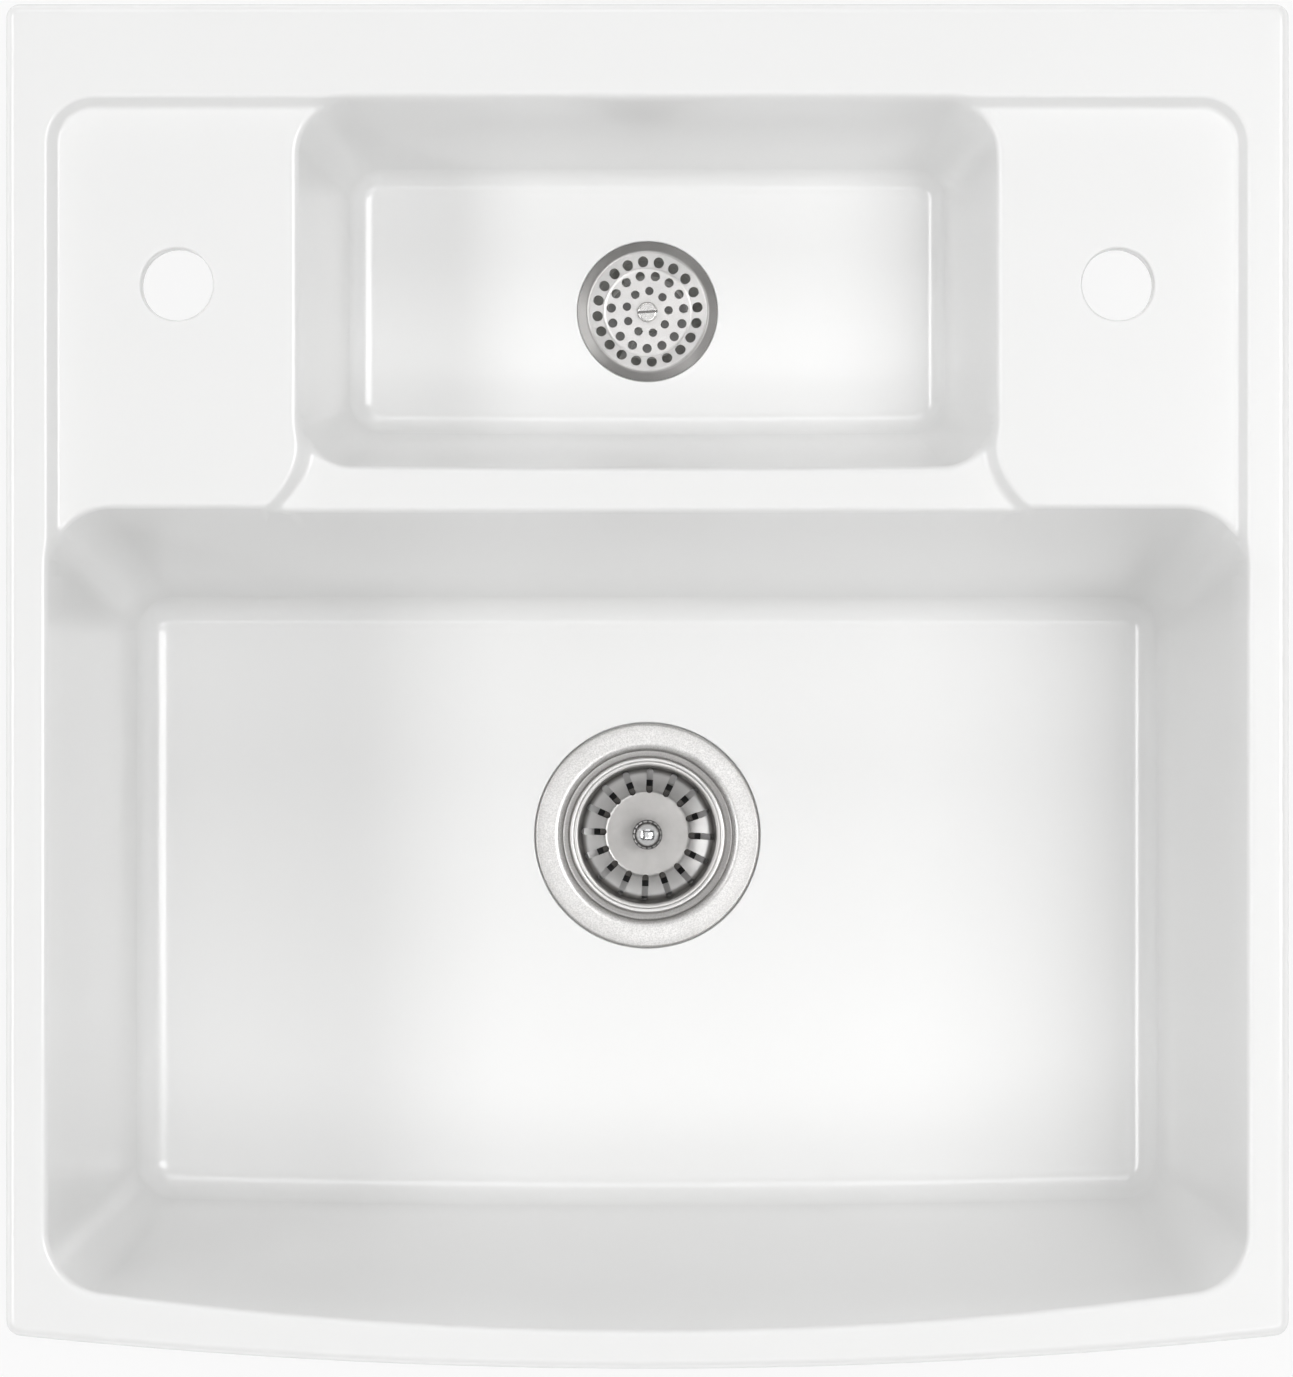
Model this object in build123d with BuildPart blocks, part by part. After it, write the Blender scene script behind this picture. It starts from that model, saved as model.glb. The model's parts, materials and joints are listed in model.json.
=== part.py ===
import os
from dataclasses import astuple, dataclass

from build123d import *

os.makedirs("parts", exist_ok=True)

# Frame: +X to the right, +Y to the back, +Z up; x = 0 is the plane of symmetry,
# y = 0 the middle of the overall depth, z = 0 the underside of the rim, which
# rests on the base unit. All lengths in millimetres.

# Rim with its bowed front edge
rim_width = 595.0
rim_depth = 633.0
rim_height = 40.0
rim_bow = 16.0
rim_corner_radius = 6.5
rim_edge_radius = 5.0
side_rim_width = 19.5
back_rim_width = 43.5
front_rim_width = 18.0
mouth_edge_radius = 3.0

# Lower pan inside the rim, its decks and the saddle between the bowls
deck_drop = 6.0
deck_thickness = 14.0
deck_corner_radius = 21.0
skirt_thickness = 14.0
saddle_drop = 7.0
saddle_inset = 3.0
saddle_flare = 18.0
saddle_flare_start = 8.0
saddle_flare_radius = 20.0

# Main bowl: mouth at the rim, depth below the rim, run-in of each wall
main_length = 382.8
main_depth = 190.0
main_mouth_bow = 21.0
main_floor_bow = 3.0
main_side_draft = 26.2
main_back_draft = 42.5
main_front_draft = 43.5
main_corner_radius = 28.0
main_front_corner_radius = 24.0
main_floor_corner_radius = 17.0
main_floor_fillet = 11.0
main_floor_thickness = 14.0

# Small bowl, which ends at the divider behind the main one
divider_width = 14.0
small_width = 327.6
small_depth = 100.0
small_bow = 1.0
small_side_draft = 22.8
small_back_draft = 26.7
small_front_draft = 25.0
small_corner_radius = 24.0
small_floor_corner_radius = 15.0
small_floor_fillet = 9.0
small_floor_thickness = 12.0

# Walls seen from below
wall_thickness = 12.0
tub_bottom_fillet = 18.0
apron_setback = 5.5
apron_foot_thickness = 32.0
apron_foot_bow = 10.0
cut_overrun = 3.0
joint_depth = 2.0

# Tap holes
tap_hole_radius = 16.75
tap_hole_spacing = 437.0
tap_hole_from_back = 129.8
tap_hole_edge = 1.0

# Clearances and screws that both wastes share
thread_clearance = 0.05
running_clearance = 0.05
screw_end_gap = 1.0
screw_slot_width = 1.2
screw_slot_depth = 1.3
screw_slot_angle = 4.0
insert_wall = 2.0
boss_wall = 3.0
boss_floor = 2.0

# Main waste: seat in the floor and pressed cup
main_waste_offset = 32.3
main_waste_hole_radius = 45.0
main_flange_radius = 56.0
main_seat_margin = 0.6
main_seat_depth = 2.0
main_flange_seal_thickness = 1.5
flange_seal_inset = 2.0
cup_sheet = 1.0
cup_hole_clearance = 1.2
cup_ledge_depth = 9.0
cup_ledge_width = 7.3
cup_taper = 2.5
cup_land_inner_radius = 22.0
cup_hub_taper = 2.0
cup_hub_drop = 12.0
cup_drain_count = 6
cup_drain_radius = 4.5
cup_bends = (0.8, 3.0, 1.6, 1.2, 2.0, 1.5, 1.5)
main_screw_radius = 4.0
main_screw_head_radius = 6.5
main_screw_head_height = 4.0
main_insert_length = 14.0
hub_gap = 0.8

# Lift-out basket of the main waste
basket_sheet = 0.8
basket_rim_gap = 3.6
basket_bead_width = 2.7
basket_bead_height = 2.4
basket_bead_rounding = 1.2
basket_wall_clearance = 0.5
basket_wall_taper = 1.0
basket_cone_drop = 13.0
basket_floor_radius = 21.0
basket_depth = 20.0
basket_bends = (1.2, 6.0, 3.0)
basket_slot_count = 16
basket_slot_width = 3.3
basket_slot_margin = 0.4
basket_slot_angle = -2.5
bush_wall = 1.45
bush_flange_width = 2.0
bush_flange_thickness = 1.2
stem_radius = 3.0
stem_shoulder = 0.5
stem_collar_width = 2.0
stem_collar_height = 2.0
stem_end_overrun = 1.0
knob_radius = 7.5
knob_center_height = 17.0
knob_neck_radius = 4.2
knob_neck_height = 10.0
knob_thread_depth = 8.0
stopper_travel = 8.0
stopper_overlap = 5.0
stopper_plate_inset = 3.0
stopper_plate_thickness = 1.2
stopper_seal_thickness = 4.0
stem_nut_across_flats = 8.0
stem_nut_height = 4.0

# Small waste: seat in the floor and dished grid with rows of holes, listed from
# the outer row inwards
small_waste_offset = -3.9
small_waste_hole_radius = 30.0
small_seat_margin = 0.6
small_seat_depth = 2.0
grid_sheet = 1.0
grid_edge_radius = 33.4
grid_edge_drop = 1.0
grid_hole_clearance = 1.0
grid_crest_height = 1.1
grid_floor_radius = 21.0
grid_floor_drop = 5.0
grid_bends = (1.0, 2.5)
grid_hole_counts = (20, 15, 9)
grid_row_radii = (24.2, 17.55, 10.25)
grid_hole_radii = (2.5, 2.25, 2.05)
grid_row_angles = (95.0, 101.5, 85.0)
grid_seal_hole_inset = 0.6
grid_seal_edge_inset = 0.8
small_screw_radius = 3.0
small_screw_head_radius = 4.9
small_screw_head_height = 2.4
small_insert_length = 12.0

# Housings below the bowls, both with the same outlet spigot
outlet_radius = 23.9
outlet_bore_radius = 20.5
outlet_length = 30.0
under_seal_thickness = 3.0
housing_mouth_margin = 1.0
housing_flange_thickness = 5.0
housing_flange_overlap = 12.0
housing_wall = 3.0
housing_cup_clearance = 4.5
main_housing_shoulder = 12.0
main_funnel_height = 14.0
main_rib_height = 10.0
small_housing_inset = 3.0
small_housing_shoulder = 5.0
small_funnel_height = 8.0
small_rib_height = 8.0
small_boss_drop = 10.0
rib_count = 3
rib_thickness = 3.0


@dataclass
class Outline:
    """Plan of a basin: straight sides and back, bowed front, rounded corners."""

    half_width: float
    back: float
    front: float
    bow: float
    back_radius: float
    front_radius: float


def between(upper, lower, share):
    """Outline at a share of the way from the upper to the lower one."""
    pairs = zip(astuple(upper), astuple(lower))
    return Outline(*(high + (low - high) * share for high, low in pairs))


def widened(outline, amount):
    """The outline moved outward on all sides."""
    return Outline(
        outline.half_width + amount,
        outline.back + amount,
        outline.front - amount,
        outline.bow,
        outline.back_radius + amount,
        outline.front_radius + amount,
    )


def draw(outline):
    """Draw the outline as a face; front is the y of the bow's middle."""
    corner_y = outline.front + outline.bow
    left_front = (-outline.half_width, corner_y)
    right_front = (outline.half_width, corner_y)
    left_back = (-outline.half_width, outline.back)
    right_back = (outline.half_width, outline.back)
    with BuildLine() as border:
        ThreePointArc(left_front, (0, outline.front), right_front)
        Polyline(right_front, right_back, left_back, left_front)
    make_face(border.edges())
    fillet(vertices().group_by(Axis.Y)[-1], outline.back_radius)
    fillet(vertices().group_by(Axis.Y)[0], outline.front_radius)


def basin(upper, lower, top, bottom, edge_radius):
    """Ruled solid between two outlines, its bottom edge rounded."""
    sections = []
    for outline, height in ((upper, top), (lower, bottom)):
        with BuildSketch(Plane.XY.offset(height)) as section:
            draw(outline)
        sections.append(section.sketch.face())
    loft(sections, ruled=True)
    fillet(faces().sort_by(Axis.Z)[0].edges(), edge_radius)


def section_at(center):
    """Upright half plane through a vertical axis: x is the radius, y the height."""
    return Plane(origin=center, x_dir=(1, 0, 0), z_dir=(0, -1, 0))


def turned(center, points):
    """Solid of revolution of a closed polygon of (radius, height) points."""
    with BuildSketch(section_at(center)) as profile:
        with BuildLine():
            Polyline(*points, close=True)
        make_face()
    revolve(profile.sketch, axis=Axis(center, (0, 0, 1)))


def turned_sheet(center, points, bends, thickness):
    """Solid of revolution of a sheet whose middle line runs through the points."""
    with BuildSketch(section_at(center)) as profile:
        with BuildLine():
            FilletPolyline(*points, radius=bends)
        trace(line_width=thickness)
    revolve(profile.sketch, axis=Axis(center, (0, 0, 1)))


def ring(center, inner, outer, bottom, top):
    """Flat ring about the vertical axis through the center."""
    turned(center, ((inner, bottom), (outer, bottom), (outer, top), (inner, top)))


def above(center, height):
    """Point on the vertical axis through the center, at a height above it."""
    return (center[0], center[1], center[2] + height)


def clamp_screw(center, seat, end, radius, head_radius, head_height):
    """Slotted screw with a domed head on the seat, its shank down to the end."""
    with Locations(above(center, seat)):
        Cylinder(head_radius, head_height, align=(Align.CENTER, Align.CENTER, Align.MIN))
    fillet(edges().group_by(Axis.Z)[-1], head_height / 2)
    with Locations(above(center, seat)):
        Cylinder(radius, seat - end, align=(Align.CENTER, Align.CENTER, Align.MAX))
    with Locations(Location(above(center, seat + head_height), (0, 0, screw_slot_angle))):
        Box(
            2 * head_radius,
            screw_slot_width,
            screw_slot_depth,
            align=(Align.CENTER, Align.CENTER, Align.MAX),
            mode=Mode.SUBTRACT,
        )


def waste_housing(center, top, mouth, radius, shoulder, funnel, boss_top, insert, rib_height):
    """Housing with a clamping flange, a funnel to the outlet and a ribbed boss.

    insert gives the radius and the length of the threaded insert in the boss.
    """
    insert_radius, insert_length = insert
    boss_radius = insert_radius + boss_wall
    funnel_top = boss_top - rib_height
    funnel_bottom = funnel_top - funnel
    outlet_end = funnel_bottom - outlet_length
    flange_radius = mouth + housing_flange_overlap
    flange_bottom = top - housing_flange_thickness
    turned(
        center,
        (
            (mouth, top),
            (flange_radius, top),
            (flange_radius, flange_bottom),
            (mouth + housing_wall, flange_bottom),
            (radius + housing_wall, flange_bottom - shoulder),
            (radius + housing_wall, funnel_top),
            (outlet_radius, funnel_bottom),
            (outlet_radius, outlet_end),
            (outlet_bore_radius, outlet_end),
            (outlet_bore_radius, funnel_bottom),
            (radius, funnel_top),
            (radius, flange_bottom - shoulder),
            (mouth, flange_bottom),
        ),
    )
    with Locations(above(center, boss_top)):
        Cylinder(
            boss_radius,
            insert_length + boss_floor,
            align=(Align.CENTER, Align.CENTER, Align.MAX),
        )
        with PolarLocations(insert_radius + boss_wall / 2, rib_count):
            Box(
                radius + housing_wall / 2 - insert_radius - boss_wall / 2,
                rib_thickness,
                rib_height,
                align=(Align.MIN, Align.CENTER, Align.MAX),
            )
        Cylinder(
            insert_radius,
            insert_length,
            align=(Align.CENTER, Align.CENTER, Align.MAX),
            mode=Mode.SUBTRACT,
        )


# Heights and positions that follow from the sizes above
rim_front = -rim_depth / 2
rim_back = rim_depth / 2
deck_top = rim_height - deck_drop
deck_bottom = deck_top - deck_thickness
saddle_top = deck_top - saddle_drop
main_floor = rim_height - main_depth
small_floor = rim_height - small_depth
mouth_half_width = rim_width / 2 - side_rim_width
mouth_back = rim_back - back_rim_width
mouth_front = rim_front + front_rim_width
main_back = mouth_front + main_length
small_front = main_back + divider_width
tub_top = deck_bottom + joint_depth

rim_outline = Outline(
    rim_width / 2, rim_back, rim_front, rim_bow, rim_corner_radius, rim_corner_radius
)
main_mouth_outline = Outline(
    mouth_half_width,
    main_back,
    mouth_front,
    main_mouth_bow,
    main_corner_radius,
    main_front_corner_radius,
)
main_floor_outline = Outline(
    mouth_half_width - main_side_draft,
    main_back - main_back_draft,
    mouth_front + main_front_draft,
    main_floor_bow,
    main_floor_corner_radius,
    main_floor_corner_radius,
)
small_mouth_outline = Outline(
    small_width / 2, mouth_back, small_front, small_bow, small_corner_radius, small_corner_radius
)
small_floor_outline = Outline(
    small_width / 2 - small_side_draft,
    mouth_back - small_back_draft,
    small_front + small_front_draft,
    small_bow,
    small_floor_corner_radius,
    small_floor_corner_radius,
)
main_waste_y = (main_floor_outline.back + main_floor_outline.front) / 2 + main_waste_offset
small_waste_y = (small_floor_outline.back + small_floor_outline.front) / 2 + small_waste_offset
main_seat_radius = main_flange_radius + main_seat_margin
small_seat_radius = grid_edge_radius + small_seat_margin

# Hollow of the main bowl
main_overrun_share = -cut_overrun / main_depth
with BuildPart() as main_hollow:
    basin(
        between(main_mouth_outline, main_floor_outline, main_overrun_share),
        main_floor_outline,
        rim_height + cut_overrun,
        main_floor,
        main_floor_fillet,
    )

# Hollow of the small bowl
small_overrun_share = -cut_overrun / small_depth
with BuildPart() as small_hollow:
    basin(
        between(small_mouth_outline, small_floor_outline, small_overrun_share),
        small_floor_outline,
        rim_height + cut_overrun,
        small_floor,
        small_floor_fillet,
    )

# Hollow above the decks; its walls lie in the planes of the bowls' walls
deck_front = main_back - 2 * main_corner_radius
with BuildPart() as deck_hollow:
    for height in (rim_height + cut_overrun, deck_top):
        side = mouth_half_width - main_side_draft * (rim_height - height) / main_depth
        back = mouth_back - small_back_draft * (rim_height - height) / small_depth
        with BuildSketch(Plane.XY.offset(height)):
            with Locations((0, (back + deck_front) / 2)):
                pan = Rectangle(2 * side, back - deck_front)
            fillet(pan.vertices().group_by(Axis.Y)[-1], deck_corner_radius)
    loft(ruled=True)

# Saddle between the bowls, flared towards the main one
saddle_half = small_width / 2 - saddle_inset
saddle_start = small_front + saddle_flare_start
saddle_points = (
    (saddle_half, saddle_start),
    (saddle_half + saddle_flare, main_back - main_corner_radius),
    (-saddle_half - saddle_flare, main_back - main_corner_radius),
    (-saddle_half, saddle_start),
    (-saddle_half, small_front + small_corner_radius),
    (saddle_half, small_front + small_corner_radius),
)
with BuildPart() as saddle_hollow:
    with BuildSketch(Plane.XY.offset(saddle_top)):
        with BuildLine():
            Polyline(*saddle_points, close=True)
        saddle = make_face()
        fillet(saddle.vertices().group_by(Axis.Y)[1], saddle_flare_radius)
    extrude(amount=rim_height + cut_overrun - saddle_top)

# Outer shape of the main bowl, its front an apron behind the rim's edge
main_tub_upper = widened(
    between(main_mouth_outline, main_floor_outline, (rim_height - tub_top) / main_depth),
    wall_thickness,
)
main_tub_upper.front = rim_front + apron_setback
main_tub_upper.bow = rim_bow
main_tub_lower = widened(main_floor_outline, wall_thickness)
main_tub_lower.front = main_floor_outline.front - apron_foot_thickness
main_tub_lower.bow = apron_foot_bow
with BuildPart() as main_tub:
    basin(
        main_tub_upper,
        main_tub_lower,
        tub_top,
        main_floor - main_floor_thickness,
        tub_bottom_fillet,
    )

# Outer shape of the small bowl
small_tub_upper = widened(
    between(small_mouth_outline, small_floor_outline, (rim_height - tub_top) / small_depth),
    wall_thickness,
)
with BuildPart() as small_tub:
    basin(
        small_tub_upper,
        widened(small_floor_outline, wall_thickness),
        tub_top,
        small_floor - small_floor_thickness,
        tub_bottom_fillet,
    )

# Ceramic body
with BuildPart() as sink_body:
    with BuildSketch():
        draw(rim_outline)
    slab = extrude(amount=rim_height)
    fillet(slab.faces().sort_by(Axis.Z)[-1].edges(), rim_edge_radius)
    underside_depth = rim_back - skirt_thickness - main_back
    with BuildSketch():
        with Locations((0, main_back + underside_depth / 2)):
            Rectangle(rim_width - 2 * skirt_thickness, underside_depth)
        fillet(vertices().group_by(Axis.Y)[-1], rim_corner_radius)
    extrude(amount=deck_bottom, mode=Mode.SUBTRACT)
    add(main_tub.part)
    add(small_tub.part)
    add(main_hollow.part, mode=Mode.SUBTRACT)
    add(small_hollow.part, mode=Mode.SUBTRACT)
    add(deck_hollow.part, mode=Mode.SUBTRACT)
    add(saddle_hollow.part, mode=Mode.SUBTRACT)
    rim_face = sink_body.faces().sort_by(Axis.Z)[-1]
    fillet(rim_face.inner_wires()[0].edges(), mouth_edge_radius)
    with Locations((0, main_waste_y, main_floor)):
        CounterBoreHole(
            main_waste_hole_radius, main_seat_radius, main_seat_depth, 2 * main_floor_thickness
        )
    with Locations((0, small_waste_y, small_floor)):
        CounterBoreHole(
            small_waste_hole_radius, small_seat_radius, small_seat_depth, 2 * small_floor_thickness
        )
    tap_hole_y = rim_back - tap_hole_from_back
    with Locations((0, tap_hole_y, deck_top)):
        with GridLocations(tap_hole_spacing, 0, 2, 1):
            Hole(tap_hole_radius, depth=2 * deck_thickness)
    deck_circles = sink_body.edges().filter_by(GeomType.CIRCLE).filter_by_position(
        Axis.Z, deck_top - tap_hole_edge, deck_top + tap_hole_edge
    )
    fillet([edge for edge in deck_circles if edge.radius == tap_hole_radius], tap_hole_edge)
sink_body.part.label = "sink_body"
export_step(sink_body.part, "parts/sink_body.step")

# Main waste, heights measured from the top of the main bowl's floor
main_axis_foot = (0, main_waste_y, main_floor)
cup_throat_radius = main_waste_hole_radius - cup_hole_clearance - cup_sheet / 2
cup_lower_radius = cup_throat_radius - cup_ledge_width
cup_land_radius = cup_lower_radius - cup_taper
cup_hub_radius = cup_land_inner_radius - cup_hub_taper
cup_drain_circle = (main_screw_head_radius + cup_hub_radius) / 2
main_insert_radius = main_screw_radius + insert_wall
main_mouth_radius = main_waste_hole_radius + housing_mouth_margin
main_housing_radius = cup_lower_radius + cup_sheet / 2 + housing_cup_clearance
seal_top = main_flange_seal_thickness - main_seat_depth
flange_line = seal_top + cup_sheet / 2
ledge_line = flange_line - cup_ledge_depth
ledge_top = ledge_line + cup_sheet / 2
basket_floor_top = ledge_top - basket_depth
bush_top = basket_floor_top + bush_flange_thickness
bush_bottom = basket_floor_top - basket_sheet - bush_flange_thickness
collar_top = bush_bottom - stopper_travel
plate_top = collar_top - stem_collar_height
seal_disc_top = plate_top - stopper_plate_thickness
land_top = seal_disc_top - stopper_seal_thickness
land_line = land_top - cup_sheet / 2
hub_line = land_line - cup_hub_drop
hub_top = hub_line + cup_sheet / 2
hub_bottom = hub_line - cup_sheet / 2
main_underside = -main_floor_thickness
main_boss_top = hub_bottom - hub_gap

with BuildPart() as main_flange_seal:
    ring(
        main_axis_foot,
        main_waste_hole_radius + flange_seal_inset,
        main_flange_radius - flange_seal_inset,
        -main_seat_depth,
        seal_top,
    )
main_flange_seal.part.label = "main_flange_seal"
export_step(main_flange_seal.part, "parts/main_flange_seal.step")

# Pressed cup: flange, throat, ledge for the basket, land for the stopper, hub
cup_line = (
    (main_flange_radius - cup_sheet / 2, seal_top - cup_sheet / 2),
    (main_flange_radius - cup_sheet / 2, flange_line),
    (cup_throat_radius, flange_line),
    (cup_throat_radius, ledge_line),
    (cup_lower_radius, ledge_line),
    (cup_land_radius, land_line),
    (cup_land_inner_radius, land_line),
    (cup_hub_radius, hub_line),
    (main_screw_radius + thread_clearance, hub_line),
)
with BuildPart() as main_strainer_cup:
    turned_sheet(main_axis_foot, cup_line, cup_bends, cup_sheet)
    with Locations((0, main_waste_y, main_floor + hub_top)):
        with PolarLocations(cup_drain_circle, cup_drain_count):
            Hole(cup_drain_radius, depth=2 * cup_sheet)
main_strainer_cup.part.label = "main_strainer_cup"
export_step(main_strainer_cup.part, "parts/main_strainer_cup.step")

with BuildPart() as main_under_seal:
    ring(
        main_axis_foot,
        main_mouth_radius,
        main_mouth_radius + housing_flange_overlap,
        main_underside - under_seal_thickness,
        main_underside,
    )
main_under_seal.part.label = "main_under_seal"
export_step(main_under_seal.part, "parts/main_under_seal.step")

with BuildPart() as main_waste_housing:
    waste_housing(
        main_axis_foot,
        main_underside - under_seal_thickness,
        main_mouth_radius,
        main_housing_radius,
        main_housing_shoulder,
        main_funnel_height,
        main_boss_top,
        (main_insert_radius, main_insert_length),
        main_rib_height,
    )
main_waste_housing.part.label = "main_waste_housing"
export_step(main_waste_housing.part, "parts/main_waste_housing.step")

with BuildPart() as main_clamp_screw:
    clamp_screw(
        main_axis_foot,
        hub_top,
        main_boss_top - main_insert_length + screw_end_gap,
        main_screw_radius,
        main_screw_head_radius,
        main_screw_head_height,
    )
main_clamp_screw.part.label = "main_clamp_screw"
export_step(main_clamp_screw.part, "parts/main_clamp_screw.step")

with BuildPart() as main_screw_insert:
    ring(
        main_axis_foot,
        main_screw_radius + thread_clearance,
        main_insert_radius,
        main_boss_top - main_insert_length,
        main_boss_top,
    )
main_screw_insert.part.label = "main_screw_insert"
export_step(main_screw_insert.part, "parts/main_screw_insert.step")

# Basket: beaded rim on the cup's ledge, steep wall, slotted cone, floor
basket_rim_radius = cup_throat_radius - cup_sheet / 2 - basket_rim_gap
basket_wall_radius = cup_lower_radius - cup_sheet / 2 - basket_wall_clearance
basket_cone_radius = basket_wall_radius - basket_sheet / 2 - basket_wall_taper
basket_slot_inner = basket_floor_radius - basket_slot_margin
basket_slot_outer = basket_cone_radius - basket_slot_margin
bush_bore_radius = stem_radius + running_clearance
bush_sleeve_radius = bush_bore_radius + bush_wall
bush_flange_radius = bush_sleeve_radius + bush_flange_width
basket_line = (
    (basket_rim_radius - basket_bead_width / 2, ledge_top + basket_sheet / 2),
    (basket_wall_radius - basket_sheet / 2, ledge_top + basket_sheet / 2),
    (basket_cone_radius, ledge_top - basket_cone_drop),
    (basket_floor_radius, basket_floor_top - basket_sheet / 2),
    (bush_sleeve_radius, basket_floor_top - basket_sheet / 2),
)
with BuildPart() as basket_shell:
    turned_sheet(main_axis_foot, basket_line, basket_bends, basket_sheet)
    with BuildSketch(section_at(main_axis_foot)):
        with Locations((basket_rim_radius - basket_bead_width / 2, ledge_top)):
            Rectangle(basket_bead_width, basket_bead_height, align=(Align.CENTER, Align.MIN))
        fillet(vertices().group_by(Axis.Y)[-1], basket_bead_rounding)
    revolve(axis=Axis(main_axis_foot, (0, 0, 1)))
    with BuildSketch(Plane(above(main_axis_foot, ledge_top))):
        with PolarLocations(
            (basket_slot_inner + basket_slot_outer) / 2, basket_slot_count, basket_slot_angle
        ):
            SlotOverall(basket_slot_outer - basket_slot_inner, basket_slot_width)
    extrude(amount=-basket_depth - 2 * basket_sheet, mode=Mode.SUBTRACT)
basket_shell.part.label = "basket_shell"
export_step(basket_shell.part, "parts/basket_shell.step")

with BuildPart() as basket_stem_bush:
    turned(
        main_axis_foot,
        (
            (bush_bore_radius, bush_top),
            (bush_flange_radius, bush_top),
            (bush_flange_radius, basket_floor_top),
            (bush_sleeve_radius, basket_floor_top),
            (bush_sleeve_radius, basket_floor_top - basket_sheet),
            (bush_flange_radius, basket_floor_top - basket_sheet),
            (bush_flange_radius, bush_bottom),
            (bush_bore_radius, bush_bottom),
        ),
    )
basket_stem_bush.part.label = "basket_stem_bush"
export_step(basket_stem_bush.part, "parts/basket_stem_bush.step")

# Ball knob, screwed onto the top of the stem
stem_thread_radius = stem_radius - stem_shoulder
knob_center = basket_floor_top + knob_center_height
knob_foot = knob_center - knob_neck_height
with BuildPart() as basket_knob:
    with Locations(above(main_axis_foot, knob_center)):
        Sphere(knob_radius)
    with Locations(above(main_axis_foot, knob_foot)):
        Cylinder(
            knob_neck_radius, knob_neck_height, align=(Align.CENTER, Align.CENTER, Align.MIN)
        )
        Cylinder(
            stem_thread_radius + thread_clearance,
            knob_thread_depth,
            align=(Align.CENTER, Align.CENTER, Align.MIN),
            mode=Mode.SUBTRACT,
        )
basket_knob.part.label = "basket_knob"
export_step(basket_knob.part, "parts/basket_knob.step")

# Stem: thread in the knob, guided part, collar, thread through the stopper
stem_top = knob_foot + knob_thread_depth - thread_clearance
stem_end = land_top - stem_nut_height - stem_end_overrun
stem_collar_radius = stem_radius + stem_collar_width
with BuildPart() as basket_stem:
    turned(
        main_axis_foot,
        (
            (0, stem_top),
            (stem_thread_radius, stem_top),
            (stem_thread_radius, knob_foot),
            (stem_radius, knob_foot),
            (stem_radius, collar_top),
            (stem_collar_radius, collar_top),
            (stem_collar_radius, plate_top),
            (stem_thread_radius, plate_top),
            (stem_thread_radius, stem_end),
            (0, stem_end),
        ),
    )
basket_stem.part.label = "basket_stem"
export_step(basket_stem.part, "parts/basket_stem.step")

stopper_bore = stem_thread_radius + thread_clearance
stopper_seal_radius = cup_land_inner_radius + stopper_overlap
stopper_plate_radius = stopper_seal_radius - stopper_plate_inset
with BuildPart() as basket_stopper_plate:
    ring(main_axis_foot, stopper_bore, stopper_plate_radius, seal_disc_top, plate_top)
basket_stopper_plate.part.label = "basket_stopper_plate"
export_step(basket_stopper_plate.part, "parts/basket_stopper_plate.step")

with BuildPart() as basket_stopper_seal:
    ring(main_axis_foot, stopper_bore, stopper_seal_radius, land_top, seal_disc_top)
basket_stopper_seal.part.label = "basket_stopper_seal"
export_step(basket_stopper_seal.part, "parts/basket_stopper_seal.step")

with BuildPart() as basket_stem_nut:
    with BuildSketch(Plane(above(main_axis_foot, land_top))):
        RegularPolygon(stem_nut_across_flats / 2, 6, major_radius=False)
        Circle(stopper_bore, mode=Mode.SUBTRACT)
    extrude(amount=-stem_nut_height)
basket_stem_nut.part.label = "basket_stem_nut"
export_step(basket_stem_nut.part, "parts/basket_stem_nut.step")

# Small waste, heights measured from the top of the small bowl's floor
small_axis_foot = (0, small_waste_y, small_floor)
small_underside = -small_floor_thickness
small_housing_top = small_underside - under_seal_thickness
small_boss_top = small_housing_top - small_boss_drop
grid_floor_top = grid_sheet / 2 - grid_floor_drop
grid_crest_radius = small_waste_hole_radius - grid_hole_clearance
grid_seal_inner = small_waste_hole_radius + grid_seal_hole_inset
grid_seal_outer = grid_edge_radius - grid_seal_edge_inset
small_insert_radius = small_screw_radius + insert_wall
small_mouth_radius = small_waste_hole_radius + housing_mouth_margin
small_housing_radius = small_waste_hole_radius - small_housing_inset
grid_line = (
    (grid_edge_radius, -grid_edge_drop),
    (grid_crest_radius, grid_crest_height),
    (grid_floor_radius, -grid_floor_drop),
    (small_screw_radius + thread_clearance, -grid_floor_drop),
)
with BuildPart() as small_grid_strainer:
    turned_sheet(small_axis_foot, grid_line, grid_bends, grid_sheet)
    rows = zip(grid_hole_counts, grid_row_radii, grid_hole_radii, grid_row_angles)
    for count, circle_radius, hole_radius, start_angle in rows:
        with BuildSketch(Plane(above(small_axis_foot, grid_crest_height))):
            with PolarLocations(circle_radius, count, start_angle):
                Circle(hole_radius)
        extrude(amount=-grid_crest_height - grid_floor_drop - grid_sheet, mode=Mode.SUBTRACT)
small_grid_strainer.part.label = "small_grid_strainer"
export_step(small_grid_strainer.part, "parts/small_grid_strainer.step")

# Seal under the grid's bevel, its top parallel to the bevel
bevel_run = grid_edge_radius - grid_crest_radius
bevel_rise = grid_crest_height + grid_edge_drop
bevel_length = (bevel_run**2 + bevel_rise**2) ** 0.5
bevel_slope = bevel_rise / bevel_run
bevel_foot = -grid_edge_drop - grid_sheet / 2 * bevel_length / bevel_run


def bevel_underside(radius):
    """Height of the bevel's underside at a radius."""
    return bevel_foot + bevel_slope * (grid_edge_radius - radius)


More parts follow.
